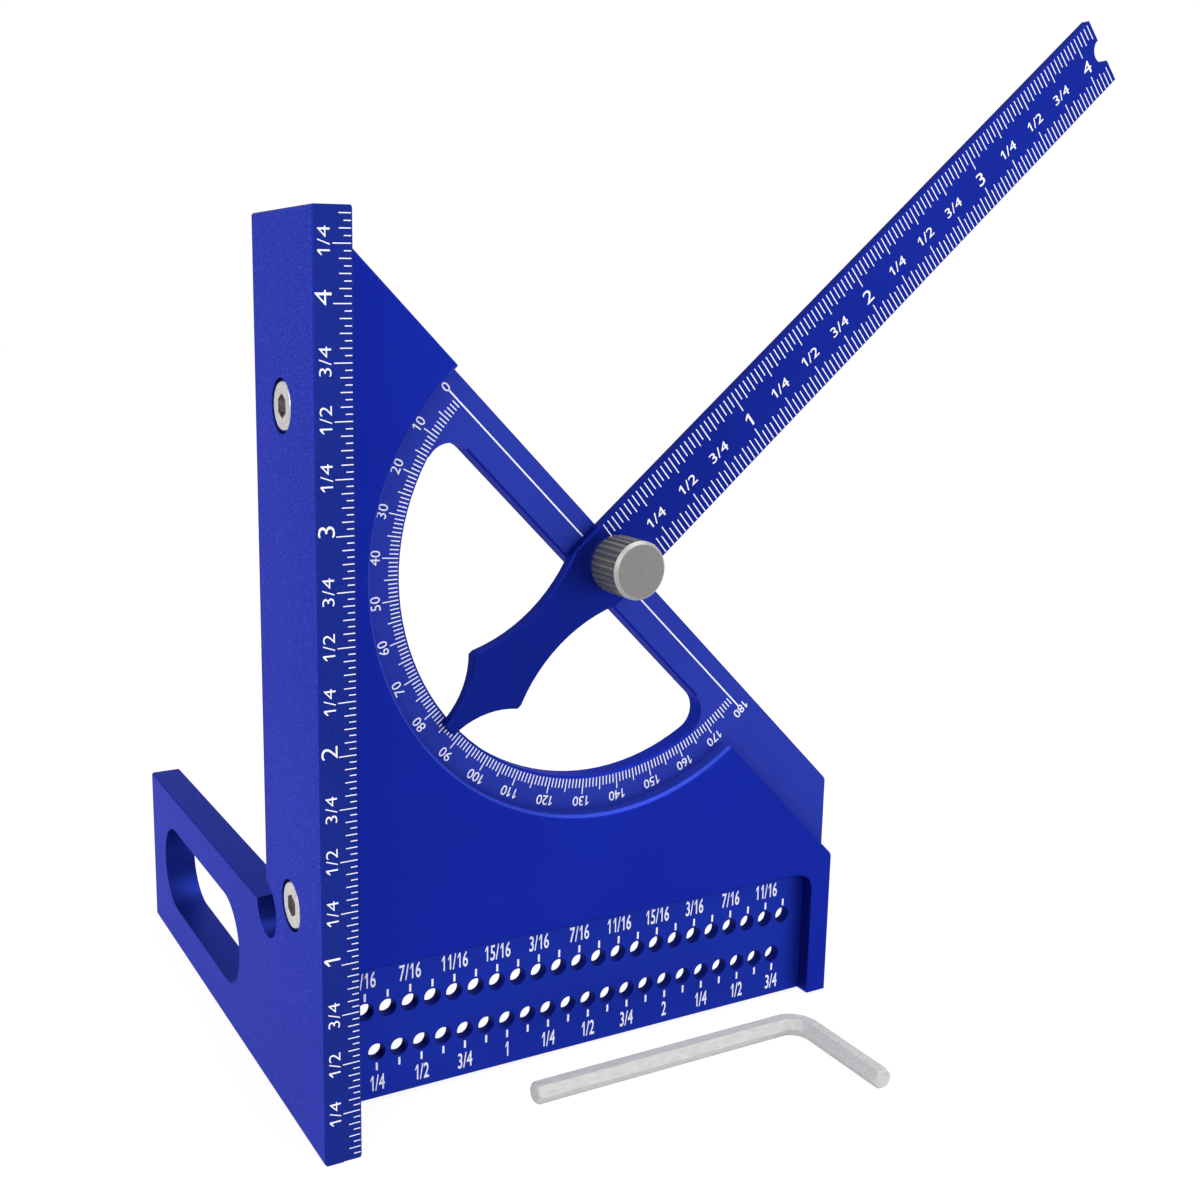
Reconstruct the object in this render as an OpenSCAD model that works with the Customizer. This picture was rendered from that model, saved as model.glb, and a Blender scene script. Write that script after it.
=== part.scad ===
// Adjustable angle protractor for marking out, in millimetres.
// A corner fence carries a flat protractor body on two screws. A ruler arm swings on a
// stud in the body and is held by a knurled knob. The hex key for the screws lies in front.
// The origin is the middle of the fence foot's underside. +X runs from the fence along the
// body, +Y points to the rear and +Z is up. The foot rests on Z = 0.

/* [Fence] */
// Thickness of the fence plate
fence_t = 4.8; // [4:0.1:8]
// Height of the upright leg
fence_h = 112; // [104:1:118]
// Width of the upright leg from front to back
leg_w = 20; // [17:0.5:28]
// Length of the foot from front to back
foot_len = 78.5; // [74:0.5:110]
// Height of the foot
foot_h = 24.8; // [23.5:0.1:32]
// Radius of the relief in the inner corner
relief_r = 3.8; // [2:0.1:5]
// Length of the slot in the foot
slot_len = 38.9; // [20:0.1:42]
// Height of the slot in the foot
slot_h = 13.2; // [8:0.2:14]
// Wall between the slot and the rear end of the foot
slot_rear_wall = 7.3; // [4:0.1:10]
// Wall under the slot
slot_floor = 6.3; // [4:0.1:7]
// Width of the broken edges on the fence
fence_edge = 0.25; // [0.1:0.05:0.6]

/* [Protractor body] */
// Width of the body from the fence to its right end
body_w = 78.2; // [76:0.1:86]
// Thickness of the body plate
body_t = 4.8; // [4.4:0.1:8]
// Distance from the front edge of the fence back to the front face of the body
body_setback = 8.2; // [7:0.1:11]
// Height of the body's top corner beside the fence
body_top = 111.1; // [108:0.1:113]
// Gap between the body's lower edge and the surface under the foot
body_lift = 0.5; // [0.2:0.1:2]
// Depth of the recesses in the front face of the body
recess_depth = 2.15; // [1.9:0.05:2.6]
// Distance from the fence to the pivot
pivot_from_fence = 39.2; // [38:0.1:42]
// Distance from the sloping edge to the pivot, square to that edge
pivot_inset = 2.37; // [2.1:0.01:3.5]
// Radius of the round recess behind the arm
recess_r = 34; // [32.5:0.1:35]
// Width of the bevel round the mouth of that recess
recess_edge = 0.5; // [0.2:0.05:0.8]
// Distance from the zero line to the lower side of the straight recess
band_drop = 5.37; // [5.2:0.01:6.5]
// Radius of the window
window_r = 29.3; // [24:0.05:29.7]
// Distance from the zero line to the straight side of the window
window_drop = 3.5; // [3:0.1:5]
// Radius of the window's two corners
window_corner_r = 3.2; // [2:0.1:4]
// Width of the bevel round the front of the window
window_edge = 0.3; // [0.1:0.05:0.5]
// Width of the broken edges on the body
body_edge = 0.25; // [0.1:0.05:0.5]

/* [Scribing holes] */
// Width of the recess that holds the two rows of holes
strip_w = 74.9; // [70:0.1:75.5]
// Height of that recess above the surface under the foot
strip_top = 19.45; // [18:0.05:21]
// Radius of the recess's inner corner
strip_corner_r = 2.5; // [1:0.1:4]
// Distance between neighbouring holes, an eighth of an inch
hole_pitch = 3.175; // [3:0.005:4]
// Diameter of the scribing holes
hole_d = 2.2; // [1.2:0.1:2.5]
// Width of the broken edge round the front of each hole
hole_edge = 0.15; // [0.1:0.05:0.3]
// Thickness of the plate at the holes, in front of the relief in the body's back
hole_web = 1.5; // [1.2:0.05:2]
// Distance from the outermost holes' centres to the edge of that relief
relief_margin = 2.4; // [2:0.1:2.8]
// Radius of the relief's corners
relief_corner_r = 1.5; // [1:0.1:2]
// Distance from the fence to the first hole of the upper row, three sixteenths of an inch
upper_first = 4.7625; // [4:0.0125:7]
// Height of the upper row
upper_row_z = 12.7; // [11.5:0.05:13.5]
// Distance from the fence to the first hole of the lower row, a quarter of an inch
lower_first = 6.35; // [4:0.01:8]
// Height of the lower row
lower_row_z = 6.85; // [6:0.05:8]
// Clear width kept between the last hole's centre and the end of the recess
row_end_gap = 2.5; // [2:0.1:4]

/* [Swing arm] */
// Width of the arm
arm_w = 10; // [9.6:0.1:10.2]
// Thickness of the arm
arm_t = 1.5; // [1:0.05:1.75]
// Distance from the pivot to the arm's far end
arm_reach = 107.8; // [80:0.1:120]
// Radius of the half-round notch in the far end
notch_r = 1.7; // [1:0.1:2.5]
// Distance from the pivot to the pointer's tip
tip_reach = 30.4; // [29.8:0.05:30.7]
// Radius of the two side curves between the pivot and the barbs
waist_r = 22; // [18:0.1:26]
// Distance from the pivot to the middle of those curves
waist_from_pivot = 12.2; // [11.5:0.1:13.5]
// Width of the arm between those curves
waist_w = 6; // [5.5:0.1:7.5]
// Radius of the two side curves between the barbs and the tip
tail_r = 11.5; // [10.5:0.1:12.5]
// Distance from the pivot to the middle of those curves
tail_from_pivot = 30.8; // [30.8:0.05:31.5]
// Width of the pointer between those curves
tail_w = 1.8; // [1.4:0.1:2.4]
// Scale reading that the pointer shows at rest, in degrees
rest_reading = 85; // [0:1:165]
// Width of the broken edges on the arm
arm_edge = 0.2; // [0.1:0.05:0.4]

/* [Pivot and clamp] */
// Diameter of the pivot stud
stud_d = 3; // [2.6:0.1:3.2]
// Length of the pivot stud
stud_len = 10; // [9:0.1:10.5]
// Diameter of the knob
knob_d = 7.6; // [7.2:0.1:9]
// Height of the knob
knob_h = 6; // [5.5:0.1:8]
// Number of ribs round the knob
knob_ribs = 28; // [20:1:34]
// Depth of the grooves between the ribs
knob_groove = 0.3; // [0.15:0.05:0.4]
// Width of the bevel round the knob's face
knob_bevel = 0.4; // [0.3:0.05:0.9]
// Width of the plain rim between the grooves and that bevel
knob_rim = 0.15; // [0.1:0.05:0.5]
// Thickness of the knob's closed face over the threaded hole
knob_face_t = 0.8; // [0.6:0.1:1.2]
// Outer diameter of the washer under the knob
thrust_washer_d = 7; // [6:0.1:7.2]
// Thickness of the washer under the knob
thrust_washer_t = 0.6; // [0.4:0.05:0.9]
// Outer diameter of the washer behind the arm
friction_washer_d = 5; // [4.6:0.1:5.6]
// Thickness of the washer behind the arm
friction_washer_t = 0.3; // [0.2:0.02:0.4]

/* [Fence screws and key] */
// Height of the upper fence screw
upper_screw_z = 90; // [86:0.5:94]
// Height of the lower fence screw
lower_screw_z = 29; // [28:0.5:32]
// Thread diameter of the fence screws
screw_d = 3; // [2.5:0.1:3]
// Length of the fence screws under the head
screw_len = 12; // [8:0.5:12]
// Diameter of the screw heads
screw_head_d = 6; // [5:0.1:6.4]
// Height of the screw heads
screw_head_h = 2; // [1.8:0.1:2.4]
// Width of the hex key across its flats
key_flats = 2.5; // [2:0.1:2.6]
// Length of the key's long arm
key_long = 44.2; // [36:0.1:60]
// Length of the key's short arm
key_short = 18.3; // [12:0.1:22]
// Bend radius at the middle of the key
key_bend_r = 3.2; // [2.5:0.1:5]
// Distance from the fence's outer face to the key's free end
key_from_fence = 29.3; // [20:0.1:40]
// Distance from the body's front face forward to the middle of the key
key_from_body = 7; // [4:0.1:12]

/* [Clearances] */
// Radial clearance of the arm on the stud
arm_fit = 0.05; // [0.02:0.01:0.1]
// Radial clearance of a thread in its tapped hole
thread_fit = 0.02; // [0.01:0.01:0.05]
// Radial clearance of a washer on the stud
washer_fit = 0.1; // [0.05:0.01:0.2]
// Clearance between the flat faces of pieces that turn on each other
face_fit = 0.05; // [0.03:0.01:0.1]
// Radial clearance of a screw's thread in the fence
screw_hole_fit = 0.2; // [0.1:0.05:0.3]
// Radial clearance round a screw's head
head_fit = 0.25; // [0.1:0.05:0.4]
// Depth of a screw's head below the face of the fence
head_sink = 0.1; // [0:0.05:0.3]
// Clearance of the key in a screw's socket, on each flat
key_fit = 0.03; // [0.02:0.01:0.08]

/* [Hidden] */
$fn = 96;
over = 1;
slope = 45;
blue = "#1a2ea6";
steel = "#b9bcbd";
bright_steel = "#dfdfe0";
nylon = "#edede8";
fence_outer_x = -fence_t / 2;
fence_inner_x = fence_t / 2;
front_y = -foot_len / 2;
slot_r = slot_h / 2;
slot_z = slot_floor + slot_r;
slot_rear_y = front_y + foot_len - slot_rear_wall - slot_r;
slot_front_y = slot_rear_y - slot_len + slot_h;
body_front_y = front_y + body_setback;
body_back_y = body_front_y + body_t;
body_mid_y = body_front_y + body_t / 2;
floor_y = body_front_y + recess_depth;
body_right_x = fence_inner_x + body_w;
body_end_top = body_top - body_w;
pivot_x = fence_inner_x + pivot_from_fence;
pivot_z = body_top - pivot_from_fence - pivot_inset * sqrt(2);
slope_len = body_w * sqrt(2);
edge_stop = 2 * body_edge;
band_start = sqrt(recess_r * recess_r - band_drop * band_drop);
window_corner_u = sqrt(pow(window_r - window_corner_r, 2) - pow(window_drop + window_corner_r, 2));
upper_count = floor((strip_w - row_end_gap - upper_first) / hole_pitch) + 1;
lower_count = floor((strip_w - row_end_gap - lower_first) / hole_pitch) + 1;
friction_washer_front_y = floor_y - friction_washer_t;
arm_back_y = friction_washer_front_y - face_fit;
arm_front_y = arm_back_y - arm_t;
washer_back_y = arm_front_y - face_fit;
washer_front_y = washer_back_y - thrust_washer_t;
knob_back_y = washer_front_y - face_fit;
arm_angle = rest_reading - slope;
stud_r = stud_d / 2;
stud_tip = 0.35;
stud_socket_flats = 1.5;
stud_socket_depth = 1.5;
knob_hole_depth = knob_h - knob_face_t;
groove_w = 0.36 * PI * knob_d / knob_ribs;
head_outer_x = fence_outer_x + head_sink;
head_inner_x = head_outer_x + screw_head_h;
screw_tip_x = head_inner_x + screw_len;
tap_extra = 0.8;
screw_tip = 0.4;
socket_depth = 1.3;
head_edge = 0.25;
key_r = key_flats / 2 / cos(30);
key_y = body_front_y - key_from_body;
key_start_x = fence_outer_x + key_from_fence;
key_bend_x = key_start_x + key_long - key_flats / 2 - key_bend_r;
key_end_edge = 0.3;

// Extrudes an outline drawn in X and Z towards the rear, from y over a depth
module towards_rear(y, depth) {
  translate([0, y + depth, 0]) rotate([90, 0, 0]) linear_extrude(depth) children();
}

// Extrudes an outline drawn in Y and Z towards the right, from x over a depth
module towards_right(x, depth) {
  translate([x, 0, 0]) rotate([90, 0, 90]) linear_extrude(depth) children();
}

// Places what is drawn round the pivot with its x along the sloping edge, away from the fence
module along_slope() {
  translate([pivot_x, pivot_z]) rotate(-slope) children();
}

// Breaks a straight edge along X, centred on the origin. The outward angle says where the
// open air lies, between the edge's two faces: 0 is +Y and 90 is +Z
module edge_cut(length, width, outward) {
  rotate([outward, 0, 0]) translate([-length / 2, -width / sqrt(2), -over])
    cube([length, 2 * over, 2 * over]);
}

// Breaks a straight edge along Z in the same way, with 0 towards +X and 90 towards +Y
module upright_edge_cut(length, width, outward) {
  rotate([0, 0, outward]) translate([-width / sqrt(2), -over, -length / 2])
    cube([2 * over, 2 * over, length]);
}

// Breaks a straight edge along Y in the same way, with 0 towards +X and 90 towards +Z
module level_edge_cut(length, width, outward) {
  rotate([0, -outward, 0]) translate([-width / sqrt(2), -length / 2, -over])
    cube([2 * over, length, 2 * over]);
}

// A plain rectangle with its four corners cut off at 45 degrees
module cut_corner_rectangle(width, height, cut) {
  polygon([[cut, 0], [width - cut, 0], [width, cut], [width, height - cut],
           [width - cut, height], [cut, height], [0, height - cut], [0, cut]]);
}

// Outline of the fence plate in Y and Z, with the corner relief
module fence_outline() {
  difference() {
    union() {
      translate([front_y, 0]) square([leg_w, fence_h]);
      translate([front_y, 0]) square([foot_len, foot_h]);
    }
    translate([front_y + leg_w, foot_h]) circle(r = relief_r);
  }
}

// Outline of the slot in the foot
module slot_outline() {
  translate([slot_front_y, slot_z]) circle(r = slot_r);
  translate([slot_rear_y, slot_z]) circle(r = slot_r);
  translate([slot_front_y, slot_floor]) square([slot_rear_y - slot_front_y, slot_h]);
}

// Hole for one fence screw, with its counterbore in the outer face
module fence_screw_hole(z) {
  translate([fence_outer_x - over, body_mid_y, z]) rotate([0, 90, 0])
    cylinder(d = screw_d + 2 * screw_hole_fit, h = fence_t + 2 * over);
  translate([fence_outer_x - over, body_mid_y, z]) rotate([0, 90, 0])
    cylinder(d = screw_head_d + 2 * head_fit, h = over + head_sink + screw_head_h);
}

module fence_plate() {
  color(blue) difference() {
    intersection() {
      towards_right(fence_outer_x, fence_t) fence_outline();
      translate([fence_outer_x, front_y, -over]) linear_extrude(fence_h + 2 * over)
        cut_corner_rectangle(fence_t, foot_len, fence_edge);
      towards_rear(front_y - over, foot_len + 2 * over)
        translate([fence_outer_x, 0]) cut_corner_rectangle(fence_t, fence_h, fence_edge);
    }
    towards_right(fence_outer_x - over, fence_t + 2 * over) slot_outline();
    // Upper edges of the foot and rear edges of the leg, on both faces
    for (side = [-1, 1]) {
      translate([side * fence_t / 2, front_y + leg_w + foot_len / 2, foot_h])
        level_edge_cut(foot_len, fence_edge, 90 - side * 45);
      translate([side * fence_t / 2, front_y + leg_w, foot_h + fence_h / 2])
        upright_edge_cut(fence_h, fence_edge, 90 - side * 45);
    }
    fence_screw_hole(upper_screw_z);
    fence_screw_hole(lower_screw_z);
  }
}

// Outline of the window, with its straight side along the sloping edge and two round corners
module window_outline() {
  along_slope() difference() {
    intersection() {
      circle(r = window_r);
      translate([-window_r, -window_r - window_drop]) square([2 * window_r, window_r]);
    }
    for (side = [-1, 1]) {
      middle = [side * window_corner_u, -window_drop - window_corner_r];
      outward = middle / norm(middle) * window_r;
      polygon([middle, middle + [0, window_r], middle + outward + [0, window_r],
               middle + outward]);
    }
  }
  along_slope() for (side = [-1, 1])
    translate([side * window_corner_u, -window_drop - window_corner_r])
      circle(r = window_corner_r);
}

// A cone that breaks the front edge of a round opening in the recess floor
module opening_bevel(r) {
  translate([0, 0, -window_edge - over]) cylinder(r1 = r - over, r2 = r + over, h = 2 * over);
}

// Bevel round the front of the window. It is drawn on the recess floor round the pivot, with
// its x along the sloping edge and its z to the front
module window_bevel() {
  corner_y = -window_drop - window_corner_r;
  reach = window_r + 2 * over;
  translate([pivot_x, floor_y, pivot_z]) rotate([90, slope, 0]) {
    difference() {
      opening_bevel(window_r);
      // What lies beyond the straight side
      translate([-reach, 0, 0]) rotate([90, 0, 90]) linear_extrude(2 * reach)
        polygon([[-window_drop - 2 * over, -window_edge - 2 * over], [reach, -window_edge - 2 * over],
                 [reach, 2 * over - window_edge], [-window_drop + 2 * over, 2 * over - window_edge]]);
      for (side = [-1, 1]) {
        middle = [side * window_corner_u, corner_y];
        outward = middle / norm(middle) * reach;
        translate([0, 0, -2 * over]) linear_extrude(4 * over)
          polygon([middle, middle + [0, reach], middle + outward + [0, reach], middle + outward]);
      }
    }
    for (side = [-1, 1])
      translate([side * window_corner_u, corner_y, 0]) opening_bevel(window_corner_r);
  }
}

// Outline of the recess that holds the rows of holes, open at the body's lower edge
module strip_outline() {
  translate([fence_inner_x, 0]) {
    translate([-over, 0]) square([strip_w - strip_corner_r + over, strip_top]);
    translate([-over, 0]) square([strip_w + over, strip_top - strip_corner_r]);
    translate([strip_w - strip_corner_r, strip_top - strip_corner_r])
      circle(r = strip_corner_r);
  }
}

// One scribing hole, with its front edge broken
module scribing_hole() {
  translate([0, body_back_y + over, 0]) rotate([90, 0, 0])
    cylinder(d = hole_d, h = body_t + 2 * over);
  translate([0, floor_y + hole_edge + hole_d / 4, 0]) rotate([90, 0, 0])
    cylinder(r1 = hole_d / 4, r2 = hole_d / 2 + hole_edge + over, h = hole_d / 4 + hole_edge + over);
}

// One row of scribing holes through the body's floor
module hole_row(first, count, z) {
  for (i = [0 : count - 1])
    translate([fence_inner_x + first + i * hole_pitch, 0, z]) scribing_hole();
}

// Outline of the relief behind both rows of holes
module relief_outline() {
  left = fence_inner_x + min(upper_first, lower_first) - relief_margin;
  right = fence_inner_x + relief_margin + max(upper_first + (upper_count - 1) * hole_pitch,
                                              lower_first + (lower_count - 1) * hole_pitch);
  low = lower_row_z - relief_margin;
  high = upper_row_z + relief_margin;
  r = relief_corner_r;
  translate([left + r, low]) square([right - left - 2 * r, high - low]);
  translate([left, low + r]) square([right - left, high - low - 2 * r]);
  for (x = [left + r, right - r], z = [low + r, high - r])
    translate([x, z]) circle(r = r);
}

// Tapped hole for one fence screw in the body's left edge
module body_screw_hole(z) {
  translate([fence_inner_x - over, body_mid_y, z]) rotate([0, 90, 0])
    cylinder(d = screw_d + 2 * thread_fit, h = screw_tip_x - fence_inner_x + tap_extra + over);
}

// Breaks the straight edge that runs along the slope at a drop below the zero line,
// at a depth y, between two distances from the pivot
module slope_edge(drop, y, start, end, outward) {
  translate([pivot_x, y, pivot_z]) rotate([0, slope, 0])
    translate([(start + end) / 2, 0, -drop]) edge_cut(end - start, body_edge, outward);
}

module protractor_body() {
  color(blue) difference() {
    towards_rear(body_front_y, body_t)
      polygon([[fence_inner_x, body_lift], [body_right_x, body_lift],
               [body_right_x, body_end_top], [fence_inner_x, body_top]]);
    // Round recess and the straight recess that leaves it along the slope
    towards_rear(body_front_y - over, recess_depth + over) {
      translate([pivot_x, pivot_z]) circle(r = recess_r, $fn = 180);
      along_slope() translate([0, -band_drop])
        square([slope_len, band_drop + pivot_inset + over]);
      strip_outline();
    }
    towards_rear(body_front_y - over, body_t + 2 * over) window_outline();
    towards_rear(floor_y + hole_web, body_t) relief_outline();
    hole_row(upper_first, upper_count, upper_row_z);
    hole_row(lower_first, lower_count, lower_row_z);
    body_screw_hole(upper_screw_z);
    body_screw_hole(lower_screw_z);
    // Tapped hole for the pivot stud
    translate([pivot_x, body_back_y + over, pivot_z]) rotate([90, 0, 0])
      cylinder(d = stud_d + 2 * thread_fit, h = body_t + 2 * over);
    window_bevel();
    // Broken edges: rim of the round recess, then the straight edges
    translate([pivot_x, body_front_y + recess_edge + over, pivot_z]) rotate([90, 0, 0])
      cylinder(r1 = recess_r - over, r2 = recess_r + over, h = 2 * over, $fn = 180);
    slope_edge(band_drop, body_front_y, band_start, slope_len, 135);
    slope_edge(-pivot_inset, body_front_y, -slope_len, slope_len, 135);
    slope_edge(-pivot_inset, floor_y, -recess_r + edge_stop, slope_len, 135);
    slope_edge(-pivot_inset, body_back_y, -slope_len, slope_len, 45);
    translate([fence_inner_x + strip_w / 2 - strip_corner_r, body_front_y, strip_top])
      edge_cut(strip_w, body_edge, 225);
  }
}

// A round cutter through the arm, with the edge at the arm's front face broken
module arm_round_cut(r) {
  translate([0, 0, -over]) cylinder(r = r, h = arm_t + 2 * over);
  translate([0, 0, arm_t - 2 * arm_edge])
    cylinder(r1 = r - arm_edge, r2 = r + 2 * arm_edge, h = 3 * arm_edge);
}

// The arm as it lies on its back, with the pivot at the origin and the ruler along +X
module flat_arm() {
  difference() {
    translate([-tip_reach, -arm_w / 2, 0]) cube([tip_reach + arm_reach, arm_w, arm_t]);
    translate([0, 0, -over]) cylinder(r = stud_r + arm_fit, h = arm_t + 2 * over);
    translate([arm_reach, 0, 0]) arm_round_cut(notch_r);
    for (side = [-1, 1]) {
      translate([-waist_from_pivot, side * (waist_r + waist_w / 2), 0]) arm_round_cut(waist_r);
      translate([-tail_from_pivot, side * (tail_r + tail_w / 2), 0]) arm_round_cut(tail_r);
      translate([(arm_reach - tip_reach) / 2, side * arm_w / 2, arm_t])
        edge_cut(arm_reach + tip_reach + over, arm_edge, 90 - side * 45);
    }
    translate([arm_reach, 0, arm_t]) level_edge_cut(arm_w + over, arm_edge, 45);
  }
}

module swing_arm() {
  color(blue) translate([pivot_x, arm_back_y, pivot_z]) rotate([0, -arm_angle, 0])
    rotate([90, 0, 0]) flat_arm();
}

// Half section of the knob, with the distance from its axis first and the height second
module knob_section() {
  knob_r = knob_d / 2;
  base_bevel = knob_groove;
  hole_r = stud_r + thread_fit;
  polygon([[hole_r, 0], [knob_r - base_bevel, 0], [knob_r, base_bevel],
           [knob_r, knob_h - knob_bevel], [knob_r - knob_bevel, knob_h],
           [0, knob_h], [0, knob_hole_depth], [hole_r, knob_hole_depth]]);
}

module clamp_knob() {
  color(steel) translate([pivot_x, knob_back_y, pivot_z]) rotate([90, 0, 0]) difference() {
    rotate_extrude() knob_section();
    for (i = [0 : knob_ribs - 1])
      rotate([0, 0, i * 360 / knob_ribs])
        translate([knob_d / 2 - knob_groove, 0, -over])
          linear_extrude(over + knob_h - knob_bevel - knob_rim)
          polygon([[0, -groove_w / 4], [knob_groove + over, -groove_w / 2 - over],
                   [knob_groove + over, groove_w / 2 + over], [0, groove_w / 4]]);
  }
}

// A flat washer round the pivot, from y towards the rear
module washer(y, outer_d, thickness) {
  towards_rear(y, thickness) translate([pivot_x, pivot_z]) difference() {
    circle(d = outer_d);
    circle(r = stud_r + washer_fit);
  }
}

module thrust_washer() {
  color(bright_steel) washer(washer_front_y, thrust_washer_d, thrust_washer_t);
}

module friction_washer() {
  color(nylon) washer(friction_washer_front_y, friction_washer_d, friction_washer_t);
}

module pivot_stud() {
  color(steel) translate([pivot_x, body_back_y, pivot_z]) rotate([90, 0, 0]) difference() {
    rotate_extrude() polygon([[0, 0], [stud_r - stud_tip, 0], [stud_r, stud_tip],
                              [stud_r, stud_len - stud_tip], [stud_r - stud_tip, stud_len],
                              [0, stud_len]]);
    translate([0, 0, -over])
      cylinder(d = stud_socket_flats / cos(30), h = stud_socket_depth + over, $fn = 6);
  }
}

// One fence screw at a height, with its hex socket in the outer face of the fence
module fence_screw(z) {
  translate([head_outer_x, body_mid_y, z]) rotate([0, 90, 0]) difference() {
    union() {
      rotate_extrude() polygon([[0, 0], [screw_head_d / 2 - head_edge, 0],
                                [screw_head_d / 2, head_edge], [screw_head_d / 2, screw_head_h],
                                [0, screw_head_h]]);
      cylinder(d = screw_d, h = screw_head_h + screw_len - screw_tip);
      translate([0, 0, screw_head_h + screw_len - screw_tip])
        cylinder(r1 = screw_d / 2, r2 = screw_d / 2 - screw_tip, h = screw_tip);
    }
    translate([0, 0, -over])
      cylinder(r = key_r + key_fit / cos(30), h = socket_depth + over, $fn = 6);
  }
}

module upper_fence_screw() {
  color(bright_steel) fence_screw(upper_screw_z);
}

module lower_fence_screw() {
  color(bright_steel) fence_screw(lower_screw_z);
}

// One straight stretch of the key along +X from the origin, with its free end bevelled
module key_arm(length) {
  intersection() {
    rotate([90, 0, 90]) linear_extrude(length) circle(r = key_r, $fn = 6);
    rotate([0, 90, 0]) rotate_extrude()
      polygon([[0, 0], [key_r - key_end_edge, 0], [key_r + over, key_end_edge + over],
               [key_r + over, length], [0, length]]);
  }
}

module hex_key() {
  color(bright_steel) translate([0, key_y, key_flats / 2]) {
    translate([key_start_x, 0, 0]) key_arm(key_bend_x - key_start_x);
    translate([key_bend_x, -key_bend_r, 0]) rotate_extrude(angle = 90)
      translate([key_bend_r, 0]) circle(r = key_r, $fn = 6);
    translate([key_bend_x + key_bend_r, -key_short + key_flats / 2, 0]) rotate([0, 0, 90])
      key_arm(key_short - key_flats / 2 - key_bend_r);
  }
}

fence_plate();
protractor_body();
swing_arm();
clamp_knob();
thrust_washer();
friction_washer();
pivot_stud();
upper_fence_screw();
lower_fence_screw();
hex_key();
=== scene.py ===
# %% [markdown]
# # An adjustable angle protractor
# The tool is a corner fence, a flat protractor body and a ruler arm, all cut from blue anodised
# aluminium, with a knurled steel knob, two fence screws and a hex key. The shapes come from the
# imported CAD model. This lesson dresses them: it gives every piece the finish of its real
# material, and models the white scales and numbers that lie on the blue faces.

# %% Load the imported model
import math

import bpy
from mathutils import Matrix, Vector


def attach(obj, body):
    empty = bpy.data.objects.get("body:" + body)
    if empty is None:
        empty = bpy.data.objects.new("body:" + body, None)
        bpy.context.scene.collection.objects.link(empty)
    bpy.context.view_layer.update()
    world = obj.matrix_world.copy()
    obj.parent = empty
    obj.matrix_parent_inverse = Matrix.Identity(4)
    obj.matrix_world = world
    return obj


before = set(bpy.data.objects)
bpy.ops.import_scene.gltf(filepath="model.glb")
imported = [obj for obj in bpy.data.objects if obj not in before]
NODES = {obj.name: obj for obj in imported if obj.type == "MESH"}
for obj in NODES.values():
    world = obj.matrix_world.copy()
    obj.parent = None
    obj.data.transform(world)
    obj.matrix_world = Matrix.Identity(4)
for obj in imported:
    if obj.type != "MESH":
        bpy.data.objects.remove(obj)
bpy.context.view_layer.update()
MM = 0.001

# %% [markdown]
# ## The camera
# The photograph was taken with a camera that stood to the left of the tool and looked slightly
# down. Its place and lens were worked out from the scale marks, whose spacing is known. The
# picture was cropped off centre, which the camera's shift repeats.

# %% Camera
CAMERA_PLACE = Vector((-56.366, -182.52, 102.26)) * MM
CAMERA_YAW = math.radians(25.928)
CAMERA_PITCH = math.radians(-10.385)
CAMERA_ROLL = math.radians(0.078)
SENSOR_WIDTH = 36  # this and the focal length are in the lens's own millimetres
FOCAL_LENGTH = 42.278
SHIFT_X, SHIFT_Y = 0.1297, -0.0369
NEAREST, FARTHEST = 1 * MM, 20

look = Vector((math.sin(CAMERA_YAW) * math.cos(CAMERA_PITCH),
               math.cos(CAMERA_YAW) * math.cos(CAMERA_PITCH), math.sin(CAMERA_PITCH)))
right = look.cross(Vector((0, 0, 1))).normalized()
up = right.cross(look)
turn = Matrix((right, up, -look)).transposed() @ Matrix.Rotation(CAMERA_ROLL, 3, "Z")
bpy.ops.object.camera_add(location=CAMERA_PLACE, rotation=turn.to_euler())
camera = bpy.context.object
camera.name = "camera"
camera.data.sensor_width = SENSOR_WIDTH
camera.data.lens = FOCAL_LENGTH
camera.data.shift_x = SHIFT_X
camera.data.shift_y = SHIFT_Y
camera.data.clip_start = NEAREST
camera.data.clip_end = FARTHEST
bpy.context.scene.camera = camera
print("camera at", [round(c / MM, 1) for c in camera.location], "mm")

# %% [markdown]
# ## One helper for nodes and one for colours
# A material is a small network of nodes. One function adds a node, sets its values and links its
# inputs, so each material below reads as a list. Colours are written as sRGB hex, as a colour
# picker shows them, and turned to the linear values that the renderer works with.


# %% Helpers for materials
def linear(hex_colour):
    """The linear and opaque colour of an sRGB hex value."""
    parts = [int(hex_colour[i:i + 2], 16) / 255 for i in (1, 3, 5)]
    return [p / 12.92 if p <= 0.04045 else ((p + 0.055) / 1.055) ** 2.4 for p in parts] + [1.0]


def add_node(tree, kind, settings=(), links=()):
    """Adds a node. Settings and links name a socket by its name or number, or else a property."""
    node = tree.nodes.new(kind)
    for key, value in dict(settings).items():
        if isinstance(key, str) and hasattr(node, key):
            setattr(node, key, value)
        else:
            node.inputs[key].default_value = value
    for key, source in dict(links).items():
        tree.links.new(source, node.inputs[key])
    return node


def new_material(name, settings=()):
    """A material with one Principled shader. Returns the material, its tree and the shader."""
    material = bpy.data.materials.new(name)
    material.use_nodes = True
    tree = material.node_tree
    tree.nodes.clear()
    shader = add_node(tree, "ShaderNodeBsdfPrincipled", settings)
    add_node(tree, "ShaderNodeOutputMaterial", links={"Surface": shader.outputs[0]})
    return material, tree, shader


def finish_node(node_name, material):
    """Gives a CAD node its material."""
    for material_slot in NODES[node_name].material_slots:
        material_slot.material = material


# %% [markdown]
# ## Floor, world and lamps
# The tool was photographed on white. The floor and the world look white to the camera and in
# reflections, where a strength of 1 is white, while the lamps stay at a plain level. Part of
# the floor's colour is real shading, so it keeps a soft shadow under the tool.


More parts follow.
